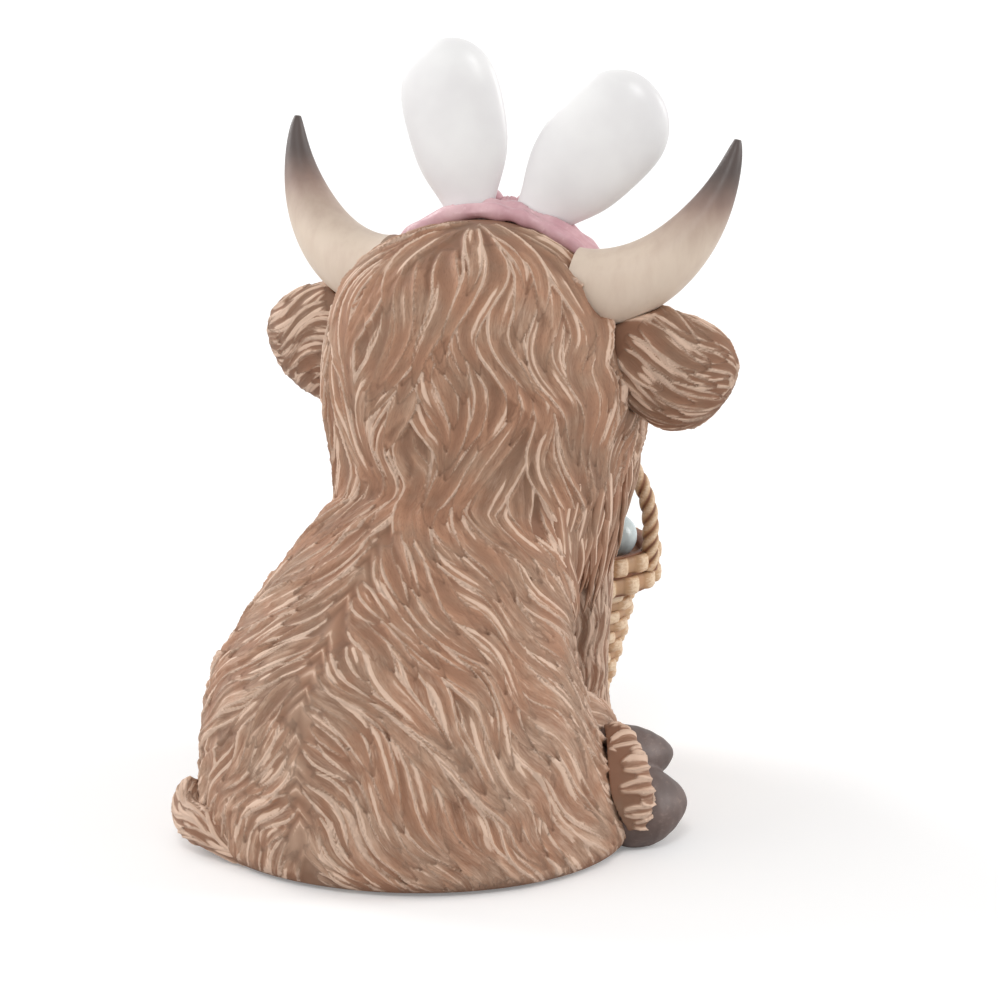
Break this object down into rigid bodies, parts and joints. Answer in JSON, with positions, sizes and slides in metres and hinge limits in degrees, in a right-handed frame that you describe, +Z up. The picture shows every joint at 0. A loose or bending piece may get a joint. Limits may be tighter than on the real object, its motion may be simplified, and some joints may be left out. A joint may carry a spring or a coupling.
{
  "type": "cow figurine",
  "caption": "Seated long-haired highland cow figurine of cast, painted resin, with horns, a bunny-ear headband and bow, and a basket of eggs hanging from its mouth.",
  "frame": {"origin": "on the ground plane, under the front part of the body, in the felt pad's underside", "axes": "+Z up, the cow faces -Y, its left side is +X"},
  "size_m": [0.1044, 0.1325, 0.1524],
  "materials": {
    "fur": "hand-painted cast resin, dry-brushed brown",
    "muzzle": "hand-painted cast resin, satin",
    "horn": "hand-painted cast resin, cream shading to dark brown tips",
    "hoof": "hand-painted cast resin, grey-brown",
    "eye": "gloss painted",
    "bunny_white": "hand-painted cast resin, satin white",
    "ear_pink": "hand-painted cast resin, satin pink",
    "ribbon_pink": "hand-painted cast resin, pink",
    "wicker": "hand-painted cast resin, woven relief",
    "egg_blue": "glossy pale blue",
    "egg_lilac": "glossy pale lilac",
    "egg_mint": "glossy pale green",
    "egg_rose": "glossy pale pink",
    "felt": "dark felt"
  },
  "bodies": {
    "root": {"body_casting": "fur", "head_casting": "fur", "forelock": "fur", "tail": "fur", "ear_left": "fur", "ear_right": "fur", "foreleg_left": "fur", "foreleg_right": "fur", "hind_leg_left": "fur", "hind_leg_right": "fur", "chin": "fur", "muzzle": "muzzle", "horn_left": "horn", "horn_right": "horn", "front_hoof_left": "hoof", "front_hoof_right": "hoof", "hind_hoof_left": "hoof", "hind_hoof_right": "hoof", "eye_left": "eye", "eye_right": "eye", "bunny_ear_left": "bunny_white", "bunny_ear_right": "bunny_white", "bunny_panel_left": "ear_pink", "bunny_panel_right": "ear_pink", "headband": "ribbon_pink", "bow_knot": "ribbon_pink", "bow_loop_left": "ribbon_pink", "bow_loop_right": "ribbon_pink", "basket_bowl": "wicker", "basket_rim": "wicker", "basket_handle": "wicker", "egg_1": "egg_blue", "egg_2": "egg_blue", "egg_6": "egg_blue", "egg_3": "egg_lilac", "egg_7": "egg_lilac", "egg_4": "egg_mint", "egg_8": "egg_mint", "egg_5": "egg_rose", "base_felt": "felt"}
  },
  "joints": []
}
